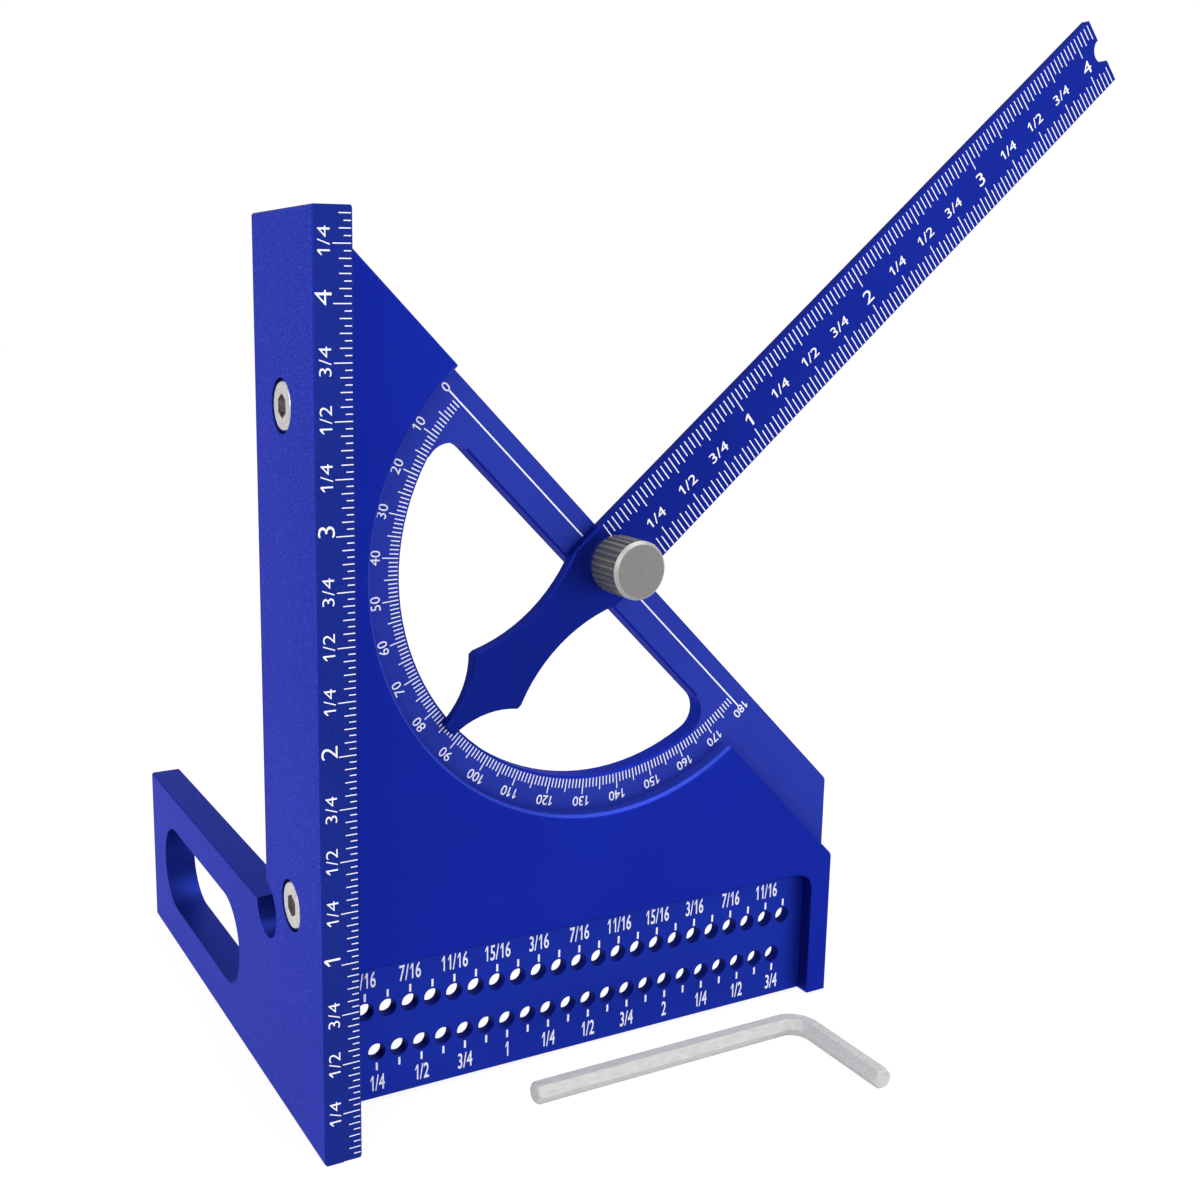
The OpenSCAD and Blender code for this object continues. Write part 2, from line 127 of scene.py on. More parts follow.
# %% Rays that see the background
def background_rays(tree):
    """Is 1 for camera, glossy and transmission rays, and 0 for the light that falls on things."""
    path = add_node(tree, "ShaderNodeLightPath")
    seen = add_node(tree, "ShaderNodeMath", {"operation": "MAXIMUM"},
                    {0: path.outputs["Is Camera Ray"], 1: path.outputs["Is Glossy Ray"]})
    return add_node(tree, "ShaderNodeMath", {"operation": "MAXIMUM"},
                    {0: seen.outputs[0], 1: path.outputs["Is Transmission Ray"]}).outputs[0]


# %% Floor
WHITE = (1, 1, 1, 1)
FLOOR_SIZE = 6.0
FLOOR_COLOUR = "#fafafa"
FLOOR_OWN_WHITE = 0.8
FLOOR_GLOW = 1.1  # makes up for what the shaded share lacks far from the lamps

bpy.ops.object.select_all(action="DESELECT")
bpy.ops.mesh.primitive_plane_add(size=FLOOR_SIZE, location=(0, 0, 0))
floor = bpy.context.object
floor.name = "floor"

paper = bpy.data.materials.new("matt white paper")
paper.use_nodes = True
tree = paper.node_tree
tree.nodes.clear()
shaded = add_node(tree, "ShaderNodeBsdfDiffuse", {"Color": linear(FLOOR_COLOUR)})
plain_white = add_node(tree, "ShaderNodeEmission", {"Color": WHITE, "Strength": FLOOR_GLOW})
share = add_node(tree, "ShaderNodeMath", {"operation": "MULTIPLY", 1: FLOOR_OWN_WHITE},
                 {0: background_rays(tree)})
mixed = add_node(tree, "ShaderNodeMixShader",
                 links={0: share.outputs[0], 1: shaded.outputs[0], 2: plain_white.outputs[0]})
add_node(tree, "ShaderNodeOutputMaterial", links={"Surface": mixed.outputs[0]})
floor.data.materials.append(paper)
print("floor", FLOOR_SIZE, "m wide")

# %% World
WORLD_LEVEL = 0.62  # the light that falls on the tool, where 1 is the white behind it

world = bpy.data.worlds.new("white studio")
bpy.context.scene.world = world
world.use_nodes = True
tree = world.node_tree
tree.nodes.clear()
level = add_node(tree, "ShaderNodeMapRange", {"To Min": WORLD_LEVEL, "To Max": 1.0},
                 {"Value": background_rays(tree)})
surround = add_node(tree, "ShaderNodeBackground", {"Color": WHITE},
                    {"Strength": level.outputs[0]})
add_node(tree, "ShaderNodeOutputWorld", links={"Surface": surround.outputs[0]})
bpy.context.scene.view_settings.view_transform = "Standard"
print("the world lights the tool at", WORLD_LEVEL)

# %% [markdown]
# ## Lamps
# Three large square lamps stand round the tool as soft boxes do: one lights the fence's outer
# face, one comes from above and a weak one keeps the right-hand edges from going dark.

# %% Lamps
TOOL_MIDDLE = Vector((40, -20, 55)) * MM


def soft_lamp(name, place, size, watts):
    """A square lamp that faces the middle of the tool, with its place and size in millimetres."""
    place = Vector(place) * MM
    bpy.ops.object.light_add(type="AREA", location=place)
    lamp = bpy.context.object
    lamp.name = name
    lamp.rotation_euler = (TOOL_MIDDLE - place).to_track_quat("-Z", "Y").to_euler()
    lamp.data.size = size * MM
    lamp.data.energy = watts


soft_lamp("left_lamp", (-420, -260, 330), 380, 1.3)
soft_lamp("top_lamp", (180, -120, 560), 420, 1.5)
soft_lamp("right_lamp", (420, -380, 160), 300, 0.6)

# %% [markdown]
# ## Fine patterns and relief
# Every finish of this tool is a fine pattern of a real size: blasting grain, turning marks, the
# grain of a plated wire. Noise gives that pattern. The same noise chooses between two near
# colours and lifts the surface by a few thousandths of a millimetre.

# %% Helpers for patterns
MICRON = MM * MM


def grainy(tree, place, size_mm, colours, limits, detail, crispness=0.5):
    """Noise of a real size, its way from the first limit to the second as a share, and the
    two colours mixed by that share."""
    noise = add_node(tree, "ShaderNodeTexNoise",
                     {"Scale": 1 / (size_mm * MM), "Detail": detail, "Roughness": crispness},
                     {"Vector": place}).outputs[0]
    share = add_node(tree, "ShaderNodeMapRange", {"From Min": limits[0], "From Max": limits[1]},
                     {"Value": noise}).outputs[0]
    colour = add_node(tree, "ShaderNodeMix",
                      {"data_type": "RGBA", 6: linear(colours[0]), 7: linear(colours[1])},
                      {0: share}).outputs[2]
    return noise, share, colour


def colour_and_relief(tree, shader, colour, grain, strength, height_um):
    """Links a metal's colour and the fine relief of its grain."""
    bump = add_node(tree, "ShaderNodeBump",
                    {"Strength": strength, "Distance": height_um * MICRON},
                    {"Height": grain}).outputs[0]
    tree.links.new(colour, shader.inputs["Base Color"])
    tree.links.new(bump, shader.inputs["Normal"])


# %% [markdown]
# ## Areas of another finish or of painted light and shade
# Cutting and blasting leave some areas of a piece different from the rest, and some areas are
# painted lighter or darker in place of light and shade. Such an area is found from the place on
# the piece, as limits for X, Y and Z or for the distance from the pivot. A texture would do too,
# but limits need no unwrapping and stay sharp at any size.


# %% Masks from the place on a piece
PIVOT = Vector((41.6, 0, 68.548)) * MM


def distance_from_pivot(tree, place):
    """How far a point is from the pivot's axis, which runs along Y."""
    centred = add_node(tree, "ShaderNodeMapping", {"Location": (-PIVOT.x, 0, -PIVOT.z),
                                                   "Scale": (1, 0, 1)},
                       {"Vector": place}).outputs[0]
    return add_node(tree, "ShaderNodeVectorMath", {"operation": "LENGTH"},
                    {0: centred}).outputs["Value"]


def inside(tree, place, limits):
    """Is 1 where each measure lies between its limits, which are in millimetres. A measure is
    X, Y, Z or "away", the distance from the pivot."""
    axes = add_node(tree, "ShaderNodeSeparateXYZ", links={0: place})
    mask = None
    for measure, (low, high) in limits.items():
        value = distance_from_pivot(tree, place) if measure == "away" else axes.outputs[measure]
        between = add_node(tree, "ShaderNodeMath",
                           {"operation": "COMPARE", 1: (low + high) / 2 * MM,
                            2: (high - low) / 2 * MM}, {0: value}).outputs[0]
        mask = between if mask is None else add_node(
            tree, "ShaderNodeMath", {"operation": "MULTIPLY"}, {0: mask, 1: between}).outputs[0]
    return mask


# %% Areas of the blue pieces
POCKET_FLOOR = -28.90
FLOOR_BAND = (POCKET_FLOOR - 0.05, POCKET_FLOOR + 0.05)
ROUND_RADIUS = 34.0
STRIP_TOP = 22.0  # the long pocket of the scribing holes lies below this, the others above
BODY_TOP = 150.0

upper_pockets = {"Y": FLOOR_BAND, "Z": (STRIP_TOP, BODY_TOP)}
round_wall = {"Y": (-30.5, FLOOR_BAND[0]), "away": (0.0, ROUND_RADIUS + 0.05)}
# painted highlight: the bevel at the mouth of the round pocket gets a brighter blue
rim_bevel_painted_highlight = {"Y": (-35.0, -30.56), "away": (ROUND_RADIUS - 0.05, ROUND_RADIUS + 0.35)}
strip_floor = {"Y": FLOOR_BAND, "Z": (0.0, STRIP_TOP)}
# painted shade: the end wall of the long pocket and the walls of the scribing holes get darker
# blues
strip_end_painted_shade = {"X": (75.0, 79.8), "Y": (-30.9, -29.0), "Z": (1.0, STRIP_TOP)}
hole_walls_painted_shade = {"X": (0.0, 78.0), "Y": (-28.85, -27.41), "Z": (3.5, 15.5)}
# painted light: the fence's outer face gets a lighter blue for the lamp on the left; its specks
# are the coarser grain
outer_face_painted_light = {"X": (-3.0, -2.35)}
print("areas round the pivot in mm:", round_wall["away"], rim_bevel_painted_highlight["away"])

# %% [markdown]
# ## Blue anodised aluminium
# The plates are milled, blasted with fine beads and dyed blue in the anodising bath. Under the
# dye the surface is still metal, so most of the colour is the colour of its reflection, and the
# dyed layer scatters the rest like a matt paint. The blasting leaves a fine grain, and the
# fence's broad outer face is blasted more coarsely. That face is also painted a lighter blue,
# which is painted light from the lamp on the left. The pockets came out paler than the face
# round them, and the round and the straight one are more matt too. The drilled walls of the
# scribing holes and the end wall of the long pocket are painted a darker blue, which is painted
# shade. The bevel at the mouth of the round pocket is painted a brighter blue, which is a
# painted highlight.

# %% Blue anodised aluminium
DYE_GLINT = "#cbcbf3"  # the tint of a reflection at a slant
FINE_GRAIN_MM = 0.12  # the blasting's real grain
COARSE_GRAIN_MM = 0.26  # the grain of the coarser blasting
SPECK_LIMITS = (0.5, 0.8)  # the part of the grain that shows as specks
NOISE_FROM, NOISE_TO = 0.3, 0.7  # nearly all noise lies between these
SATIN_FROM, SATIN_TO = 0.42, 0.5  # the roughness
CLOUD_MM = 22.0  # slow change of the dye over a plate
CLOUD_FROM, CLOUD_TO = 0.95, 1.05
BLASTED_RELIEF = 0.35


def anodised(name, colours, matt_share, grain_mm, relief_um, areas=()):
    """Blue anodised aluminium with a blasted grain and slow clouds in the dye. The colours are
    those of the surface and of its specks. Each area has limits, its own colours and its own
    share of matt dye."""
    material, tree, shader = new_material(
        name, {"Metallic": 1 - matt_share, "Specular IOR Level": 0.0,
               "Specular Tint": linear(DYE_GLINT)})
    place = add_node(tree, "ShaderNodeTexCoord").outputs["Object"]
    grain, specks, base = grainy(tree, place, grain_mm, colours, SPECK_LIMITS, detail=2.0,
                                 crispness=0.6)
    metal = None
    for limits, area_colours, area_matt_share in areas:
        mask = inside(tree, place, limits)
        area_colour = add_node(
            tree, "ShaderNodeMix",
            {"data_type": "RGBA", 6: linear(area_colours[0]), 7: linear(area_colours[1])},
            {0: specks}).outputs[2]
        base = add_node(tree, "ShaderNodeMix", {"data_type": "RGBA"},
                        {0: mask, 6: base, 7: area_colour}).outputs[2]
        if area_matt_share != matt_share:
            metal = add_node(
                tree, "ShaderNodeMix",
                {"data_type": "FLOAT", 2: 1 - matt_share, 3: 1 - area_matt_share},
                {0: mask} | ({2: metal} if metal else {})).outputs[0]
    if metal:
        tree.links.new(metal, shader.inputs["Metallic"])
    cloud = add_node(tree, "ShaderNodeTexNoise", {"Scale": 1 / (CLOUD_MM * MM), "Detail": 3.0},
                     {"Vector": place})
    tone = add_node(tree, "ShaderNodeMapRange",
                    {"From Min": NOISE_FROM, "From Max": NOISE_TO,
                     "To Min": CLOUD_FROM, "To Max": CLOUD_TO}, {"Value": cloud.outputs[0]})
    toned = add_node(tree, "ShaderNodeVectorMath", {"operation": "SCALE"},
                     {0: base, "Scale": tone.outputs[0]})
    satin = add_node(tree, "ShaderNodeMapRange",
                     {"From Min": NOISE_FROM, "From Max": NOISE_TO,
                      "To Min": SATIN_FROM, "To Max": SATIN_TO}, {"Value": grain})
    tree.links.new(satin.outputs[0], shader.inputs["Roughness"])
    colour_and_relief(tree, shader, toned.outputs[0], grain, BLASTED_RELIEF, relief_um)
    return material


# %% Body, fence and arm
BODY_MATT, POCKET_MATT, CUT_MATT = 0.4, 0.8, 0.3
FENCE_MATT = 0.2
ARM_MATT = 0.3
POCKET_BLUES = ("#28379c", "#2c3ba2")

body_areas = [
    (upper_pockets, POCKET_BLUES, POCKET_MATT),
    (round_wall, POCKET_BLUES, POCKET_MATT),
    (strip_floor, ("#192d9a", "#1f34a2"), BODY_MATT),
    # painted shade on the walls of the scribing holes and on the end wall of the long pocket
    (hole_walls_painted_shade, ("#0c1766", "#101d74"), CUT_MATT),
    (strip_end_painted_shade, ("#101b70", "#14227a"), CUT_MATT),
    # painted highlight on the bevel at the mouth of the round pocket
    (rim_bevel_painted_highlight, ("#2e42b4", "#3c50c4"), CUT_MATT)]
# the lighter blue of the outer face is painted light, and its brighter specks are its grain
fence_areas = [(outer_face_painted_light, ("#2030a6", "#4e5cd0"), FENCE_MATT)]
body_blue = anodised("blue anodised aluminium, body", ("#142596", "#1a2c9e"), BODY_MATT,
                     FINE_GRAIN_MM, 2, body_areas)
fence_blue = anodised("blue anodised aluminium, fence", ("#1a2a83", "#233490"), FENCE_MATT,
                      COARSE_GRAIN_MM, 10, fence_areas)
arm_blue = anodised("blue anodised aluminium, arm", ("#101f7a", "#142380"), ARM_MATT,
                    FINE_GRAIN_MM, 2)
finish_node("protractor_body", body_blue)
finish_node("fence_plate", fence_blue)
finish_node("swing_arm", arm_blue)
print("blue pieces: protractor_body, fence_plate, swing_arm")

# %% [markdown]
# ## Screws, stud and key
# The screws and the stud are bright stainless steel. The key is bent from hexagonal wire and
# satin nickel plated, which is paler and scatters much of the light. Metal keeps its usual
# IOR, and a roughness and a fine pattern tell how each surface was made.

# %% Steel
STEEL_LIMITS = (0.3, 0.65)
STEEL_RELIEF = 0.4
STEEL_RELIEF_UM = 4


def steel(name, colours, roughness, grain_mm, stretch=(1, 1, 1), matt_share=0.0,
          gloss_level=0.5):
    """Bare or plated steel with a grain of a real size, stretched along an axis."""
    material, tree, shader = new_material(name, {"Metallic": 1 - matt_share,
                                                 "Roughness": roughness,
                                                 "Specular IOR Level": gloss_level})
    place = add_node(tree, "ShaderNodeTexCoord").outputs["Object"]
    laid = add_node(tree, "ShaderNodeMapping", {"Scale": stretch}, {"Vector": place}).outputs[0]
    grain, _, base = grainy(tree, laid, grain_mm, colours, STEEL_LIMITS, detail=3.0)
    colour_and_relief(tree, shader, base, grain, STEEL_RELIEF, STEEL_RELIEF_UM)
    return material


screw_steel = steel("stainless steel, bright", ("#aaa6a6", "#d2cecd"), 0.28, 0.4)
stud_steel = steel("stainless steel, turned", ("#98989a", "#c3c1c1"), 0.32, 0.3)
key_steel = steel("satin nickel plated steel", ("#bab8b5", "#cac8c5"), 0.6, 0.35,
                  stretch=(0.25, 1, 1), matt_share=0.92, gloss_level=0.15)
finish_node("upper_fence_screw", screw_steel)
finish_node("lower_fence_screw", screw_steel)
finish_node("thrust_washer", screw_steel)
finish_node("pivot_stud", stud_steel)
finish_node("hex_key", key_steel)
print("steel pieces: two screws, washer, stud, key")

# %% [markdown]
# ## The knob
# The knob is turned from a bar and its rim is knurled. Its flat face is a dull satin grey. The
# bevel round the face is painted a brighter grey, which is a painted highlight, and the grooves
# of the knurling are painted darker, which is painted shade. How deep a point lies in a groove
# follows from its distance from the pivot.

# %% Knob
KNOB_FACE, KNOB_RIM = 3.39, 3.79  # the radii of the flat face and of the knurled rim
KNOB_SHADE_FULL = 3.6  # the painted shade in the grooves is full from this radius inwards
KNOB_BEVEL_BACK = -37.03
BEFORE_KNOB, BEHIND_KNOB = -45.0, -30.0
KNOB_MATT, KNOB_ROUGHNESS = 0.45, 0.45
KNOB_GRAIN_MM = 0.22
KNOB_LIMITS = (0.3, 0.6)
KNOB_RELIEF = 0.3
KNOB_RELIEF_UM = 3
# painted highlight on the bevel round the knob's face
face_bevel_painted_highlight = {"Y": (BEFORE_KNOB, KNOB_BEVEL_BACK), "away": (KNOB_FACE, KNOB_RIM + 1)}
knurled_side = {"Y": (KNOB_BEVEL_BACK, BEHIND_KNOB)}

knob_steel, tree, shader = new_material("turned and knurled steel",
                                        {"Metallic": 1 - KNOB_MATT,
                                         "Roughness": KNOB_ROUGHNESS})
place = add_node(tree, "ShaderNodeTexCoord").outputs["Object"]
grain, _, satin = grainy(tree, place, KNOB_GRAIN_MM, ("#706f6f", "#7b7a79"), KNOB_LIMITS,
                         detail=3.0)
# painted shade in the knurled grooves: darker the deeper a point lies in a groove
depth = add_node(tree, "ShaderNodeMapRange",
                 {"From Min": KNOB_SHADE_FULL * MM, "From Max": KNOB_RIM * MM,
                  "To Min": 1.0, "To Max": 0.0}, {"Value": distance_from_pivot(tree, place)})
grooves = add_node(tree, "ShaderNodeMath", {"operation": "MULTIPLY"},
                   {0: depth.outputs[0], 1: inside(tree, place, knurled_side)})
# the dark grey of the painted shade in the grooves
knurled = add_node(tree, "ShaderNodeMix", {"data_type": "RGBA", 7: linear("#696b68")},
                   {0: grooves.outputs[0], 6: satin})
# the brighter grey of the painted highlight on the face's bevel
turned = add_node(tree, "ShaderNodeMix", {"data_type": "RGBA", 7: linear("#a3a3a1")},
                  {0: inside(tree, place, face_bevel_painted_highlight), 6: knurled.outputs[2]})
colour_and_relief(tree, shader, turned.outputs[2], grain, KNOB_RELIEF, KNOB_RELIEF_UM)
finish_node("clamp_knob", knob_steel)
print("the knob's grooves are darkest from", round(KNOB_RIM - KNOB_SHADE_FULL, 2), "mm below its rim")

# %% [markdown]
# ## Nylon washer
# A thin nylon washer behind the arm lets it swing without scraping the body. Moulded nylon is
# milky white and a little glossy, and light goes a short way into it.

# %% Moulded nylon
FLOW_MM = 1.2  # the size of the clouds that the flow of the nylon leaves
FLOW_LIMITS = (0.0, 1.0)

nylon, tree, shader = new_material("moulded white nylon", {
    "Roughness": 0.45, "Subsurface Weight": 0.1, "Subsurface Scale": 0.3 * MM, "IOR": 1.53})
place = add_node(tree, "ShaderNodeTexCoord").outputs["Object"]
milk = grainy(tree, place, FLOW_MM, ("#e4e3dc", "#f1f0ea"), FLOW_LIMITS, detail=2.0)[2]
tree.links.new(milk, shader.inputs["Base Color"])
finish_node("friction_washer", nylon)
print("nylon piece: friction_washer")

# %% [markdown]
# ## White marks
# On the real tool a laser burns the dye away and leaves a matt white mark in the oxide. A mark
# is far thinner than paper, and here it stands a hundredth of a millimetre proud with its foot
# sunk in the metal, so that it is a closed solid of its own. Its white is slightly uneven.

# %% Laser-marked white oxide
OXIDE_MM = 0.18  # the size of the specks that the laser leaves
OXIDE_LIMITS = (0.3, 0.6)

white_oxide, tree, shader = new_material("laser-marked white oxide", {"Roughness": 0.7})
place = add_node(tree, "ShaderNodeTexCoord").outputs["Object"]
whites = grainy(tree, place, OXIDE_MM, ("#dfe2f0", "#f6f7fd"), OXIDE_LIMITS, detail=2.0)[2]
tree.links.new(whites, shader.inputs["Base Color"])
print("material for the marks:", white_oxide.name)

# %% [markdown]
# ## Working flat
# Every scale is drawn flat round the origin, in millimetres, with X along the scale, Y across it
# and Z out of the metal. Then the finished sheet of marks is laid on its face. Operators act on
# all that is selected, so one object is picked out first.


# %% Helpers for one object
def only(obj):
    """Selects one object and makes it active."""
    bpy.ops.object.select_all(action="DESELECT")
    obj.select_set(True)
    bpy.context.view_layer.objects.active = obj


def apply_place(obj):
    """Puts an object's place, turn and size into its mesh."""
    only(obj)
    bpy.ops.object.transform_apply(location=True, rotation=True, scale=True)
    return obj


# %% [markdown]
# ## One tick
# A tick is a thin bar. Bevelling the edges of its upper side gives it the soft outline of a
# burnt line. One tick is modelled and copied for the whole scale.

# %% A tick
MARK_RISE = 0.012
MARK_SINK = 0.03
MARK_THICKNESS = MARK_RISE + MARK_SINK
TICK_BEVEL = 0.008
FACING = 0.9  # a normal that goes this far along an axis faces that way


def make_tick(width, start, end):
    """One tick along Y, from start to end, with the edges of its upper side bevelled."""
    bpy.ops.object.select_all(action="DESELECT")
    bpy.ops.mesh.primitive_cube_add(
        size=1, location=(0, (start + end) / 2, MARK_RISE - MARK_THICKNESS / 2),
        scale=(width, abs(end - start), MARK_THICKNESS))
    tick = apply_place(bpy.context.object)
    for edge in tick.data.edges:
        edge.select = all(tick.data.vertices[v].co.z > 0 for v in edge.vertices)
    for face in tick.data.polygons:
        face.select = face.normal.z > FACING
    for vertex in tick.data.vertices:
        vertex.select = vertex.co.z > 0
    bpy.ops.object.mode_set(mode="EDIT")
    bpy.ops.mesh.select_mode(type="EDGE")
    bpy.ops.mesh.bevel(offset=TICK_BEVEL, segments=1)
    bpy.ops.object.mode_set(mode="OBJECT")
    return tick


# %% [markdown]
# ## Copies and rows
# What repeats is copied, each copy with its own mesh, or repeated by an Array modifier that is
# then applied. All marks of a scale end as one object.


# %% Helpers for copies and rows
def copy_to(obj, x, y=0.0, angle=0.0):
    """A copy with its own mesh, turned about the origin and then moved."""
    copied = obj.copy()
    copied.data = obj.data.copy()
    bpy.context.scene.collection.objects.link(copied)
    copied.data.transform(Matrix.Translation((x, y, 0)) @ Matrix.Rotation(angle, 4, "Z"))
    return copied


def join(parts, name):
    """Joins objects into one, with the given name."""
    bpy.ops.object.select_all(action="DESELECT")
    for part in parts:
        part.select_set(True)
    bpy.context.view_layer.objects.active = parts[0]
    if len(parts) > 1:
        bpy.ops.object.join()
    joined = bpy.context.object
    joined.name = joined.data.name = name
    return joined


def drop(*objects):
    """Deletes what was only a pattern for copies."""
    for obj in objects:
        bpy.data.objects.remove(obj)


def array(obj, count, step):
    """Repeats an object along X with an Array modifier, and applies it."""
    only(obj)
    modifier = obj.modifiers.new("repeat", "ARRAY")
    modifier.count = count
    modifier.use_relative_offset = False
    modifier.use_constant_offset = True
    modifier.constant_offset_displace = (step, 0, 0)
    bpy.ops.object.modifier_apply(modifier=modifier.name)


def cut_after(obj, x):
    """Deletes the marks that lie beyond x."""
    only(obj)
    for item in list(obj.data.edges) + list(obj.data.polygons):
        item.select = False
    for vertex in obj.data.vertices:
        vertex.select = vertex.co.x > x
    bpy.ops.object.mode_set(mode="EDIT")
    bpy.ops.mesh.select_mode(type="VERT")
    bpy.ops.mesh.delete(type="VERT")
    bpy.ops.object.mode_set(mode="OBJECT")


# %% [markdown]
# ## Laying marks on a face
# The faces with scales look to the front, so the flat sheet is stood up, turned to the angle of
# its piece and moved there. The place then goes into the mesh.


# %% Helpers for a finished sheet
def lay_on_face(obj, origin_mm, angle_degrees=0.0):
    """Lays a flat sheet of marks on a face that looks to the front, turned up from +X."""
    a = math.radians(angle_degrees)
    to_front = Matrix(((math.cos(a), -math.sin(a), 0), (0, 0, -1),
                       (math.sin(a), math.cos(a), 0))).to_4x4()
    obj.matrix_world = (Matrix.Translation(Vector(origin_mm) * MM) @ to_front
                        @ Matrix.Scale(MM, 4))
    apply_place(obj)


def marks_done(obj, body):
    """The finished piece takes the white material and rides on its body."""
    obj.data.materials.clear()
    obj.data.materials.append(white_oxide)
    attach(obj, body)
    print(obj.name, "has", len(obj.data.polygons), "faces")


# %% [markdown]
# ## Digits
# The numbers are plain upright digits. Most of them come from Blender's own font, each turned
# into a mesh once. The font's 1 is a bare stroke, so that digit is modelled: a bar is cut near
# its top, and the upper left side is pulled out and down into a flag. The narrow labels of the
# scribing holes are marked bolder than the rest and those of the fence thinner, so the digits
# are made in three weights. A word is then a row of copies of these digits, each moved along
# by the digit's own step.

# %% Digits
FONT_HEIGHT = 0.69
DIGIT_STEP = 0.777  # all sizes here are in heights of a digit
SLASH_STEP = 0.39
STROKE = 0.13
THINNER, BOLDER = -0.014, 0.015  # what either side of a stroke gains in the other weights
CURVE_STEPS = 3  # enough for digits of one or two millimetres
DOUBLES = 0.0005  # corners nearer than this are one


def font_digit(character, wider):
    """One character of the font as a solid, one unit high and centred on X = 0."""
    bpy.ops.object.select_all(action="DESELECT")
    bpy.ops.object.text_add()
    letter = bpy.context.object
    letter.data.body = character
    letter.data.resolution_u = CURVE_STEPS
    letter.data.extrude = 0.5
    letter.data.offset = wider * FONT_HEIGHT
    bpy.ops.object.convert(target="MESH")
    letter = bpy.context.object
    xs = [v.co.x for v in letter.data.vertices]
    middle = (min(xs) + max(xs)) / 2
    letter.data.transform(Matrix.Diagonal((1 / FONT_HEIGHT, 1 / FONT_HEIGHT, 1, 1))
                          @ Matrix.Translation((-middle, 0, 0)))
    only(letter)
    bpy.ops.object.mode_set(mode="EDIT")
    bpy.ops.mesh.select_all(action="SELECT")
    bpy.ops.mesh.remove_doubles(threshold=DOUBLES)
    bpy.ops.mesh.normals_make_consistent(inside=False)
    bpy.ops.object.mode_set(mode="OBJECT")
    return letter


# %% The digit 1
STEM_X = 0.1
FLAG_FOOT = 0.8  # the stem is cut here, and the flag grows above it
FLAG_PULL = (-0.22, -0.19, 0)
FLAG_TAPER = 0.62  # the width of the flag's end as a share of its root's
FLAG_MIDDLE = (-0.185, 0.62, 0)  # the end narrows towards this point


def model_one(wider):
    """The digit 1, cut and pulled out of a bar."""
    bpy.ops.object.select_all(action="DESELECT")
    bpy.ops.mesh.primitive_cube_add(size=1, location=(STEM_X, 0.5, 0),
                                    scale=(STROKE + 2 * wider, 1, 1))
    one = apply_place(bpy.context.object)
    bpy.ops.object.mode_set(mode="EDIT")
    bpy.ops.mesh.select_all(action="SELECT")
    bpy.ops.mesh.bisect(plane_co=(0, FLAG_FOOT, 0), plane_no=(0, 1, 0))
    bpy.ops.object.mode_set(mode="OBJECT")
    for item in list(one.data.vertices) + list(one.data.edges):
        item.select = False
    for face in one.data.polygons:
        face.select = face.normal.x < -FACING and face.center.y > FLAG_FOOT
    bpy.ops.object.mode_set(mode="EDIT")
    bpy.ops.mesh.select_mode(type="FACE")
    bpy.ops.mesh.extrude_region_move(TRANSFORM_OT_translate={"value": FLAG_PULL})
    bpy.ops.transform.resize(value=(1, FLAG_TAPER, 1), center_override=FLAG_MIDDLE)
    bpy.ops.object.mode_set(mode="OBJECT")
    return one


# %% Three weights of digits
def make_digits(wider):
    """A set of all digits."""
    digits = {character: font_digit(character, wider) for character in "023456789/"}
    digits["1"] = model_one(wider)
    return digits


thin_digits = make_digits(THINNER)
plain_digits = make_digits(0.0)
bold_digits = make_digits(BOLDER)
print("digits in three weights:", "".join(sorted(plain_digits)))


# %% A number of several digits
def placed_number(text, height, stretch, x, y, spacing=1.0, angle=0.0, digits=plain_digits):
    """A row of digits with a height and a sideways stretch, which is turned about its middle
    and moved to its place on a scale."""
    steps = [(SLASH_STEP if c == "/" else DIGIT_STEP) * spacing for c in text]
    row = []
    along = -sum(steps) / 2
    for character, step in zip(text, steps):
        row.append(copy_to(digits[character], along + step / 2, -0.5))
        along += step
    word = join(row, "number")
    word.data.transform(Matrix.Translation((0, 0, MARK_RISE - MARK_THICKNESS / 2))
                        @ Matrix.Diagonal((height * stretch, height, MARK_THICKNESS, 1)))
    word.data.transform(Matrix.Translation((x, y, 0)) @ Matrix.Rotation(angle, 4, "Z"))
    return word


# %% [markdown]
# ## Inch scales
# A ruler's scale repeats every inch: thirty-two ticks, of which those at the whole inch, the
# quarters and the sixteenths are longer. So one inch is put together from four kinds of tick
# and an Array modifier repeats it, and what runs past the end is deleted.

# %% Inch scale
INCH = 25.4
PER_INCH = 32
FRACTIONS = ("", "1/4", "1/2", "3/4")


def inch_scale(name, last_mark, width, edge, ends):
    """Ticks every thirty-second of an inch along +X, from an edge at Y = edge.
    ends gives where a tick stops for a whole inch, a quarter, a sixteenth and the rest."""
    kinds = [make_tick(width, edge, end) for end in ends]
    one_inch = []
    for i in range(PER_INCH):
        kind = 0 if i == 0 else 1 if i % 8 == 0 else 2 if i % 2 == 0 else 3
        one_inch.append(copy_to(kinds[kind], i * INCH / PER_INCH))
    drop(*kinds)
    scale = join(one_inch, name)
    array(scale, math.ceil(last_mark / PER_INCH), INCH)
    cut_after(scale, (last_mark + 0.5) * INCH / PER_INCH)
    return scale


def inch_numbers(last_quarter, whole_inch, fraction, stretch, digits):
    """A fraction at each quarter of an inch and a whole number at each inch. Both kinds are
    given by their height, how far they stand past their tick, and their place across."""
    words = []
    for quarter in range(1, last_quarter + 1):
        inches, quarters = divmod(quarter, 4)
        height, past, across = fraction if quarters else whole_inch
        words.append(placed_number(FRACTIONS[quarters] or str(inches), height, stretch,
                                   quarter * INCH / 4 + past, across, digits=digits))
    return words


# %% [markdown]
# ## The fence's scale
# It starts at the bench and runs up the front edge of the fence, with the ticks along the right
# side and the numbers turned to read upwards. The sheet is drawn lying along X and turned
# upright when it is laid on.

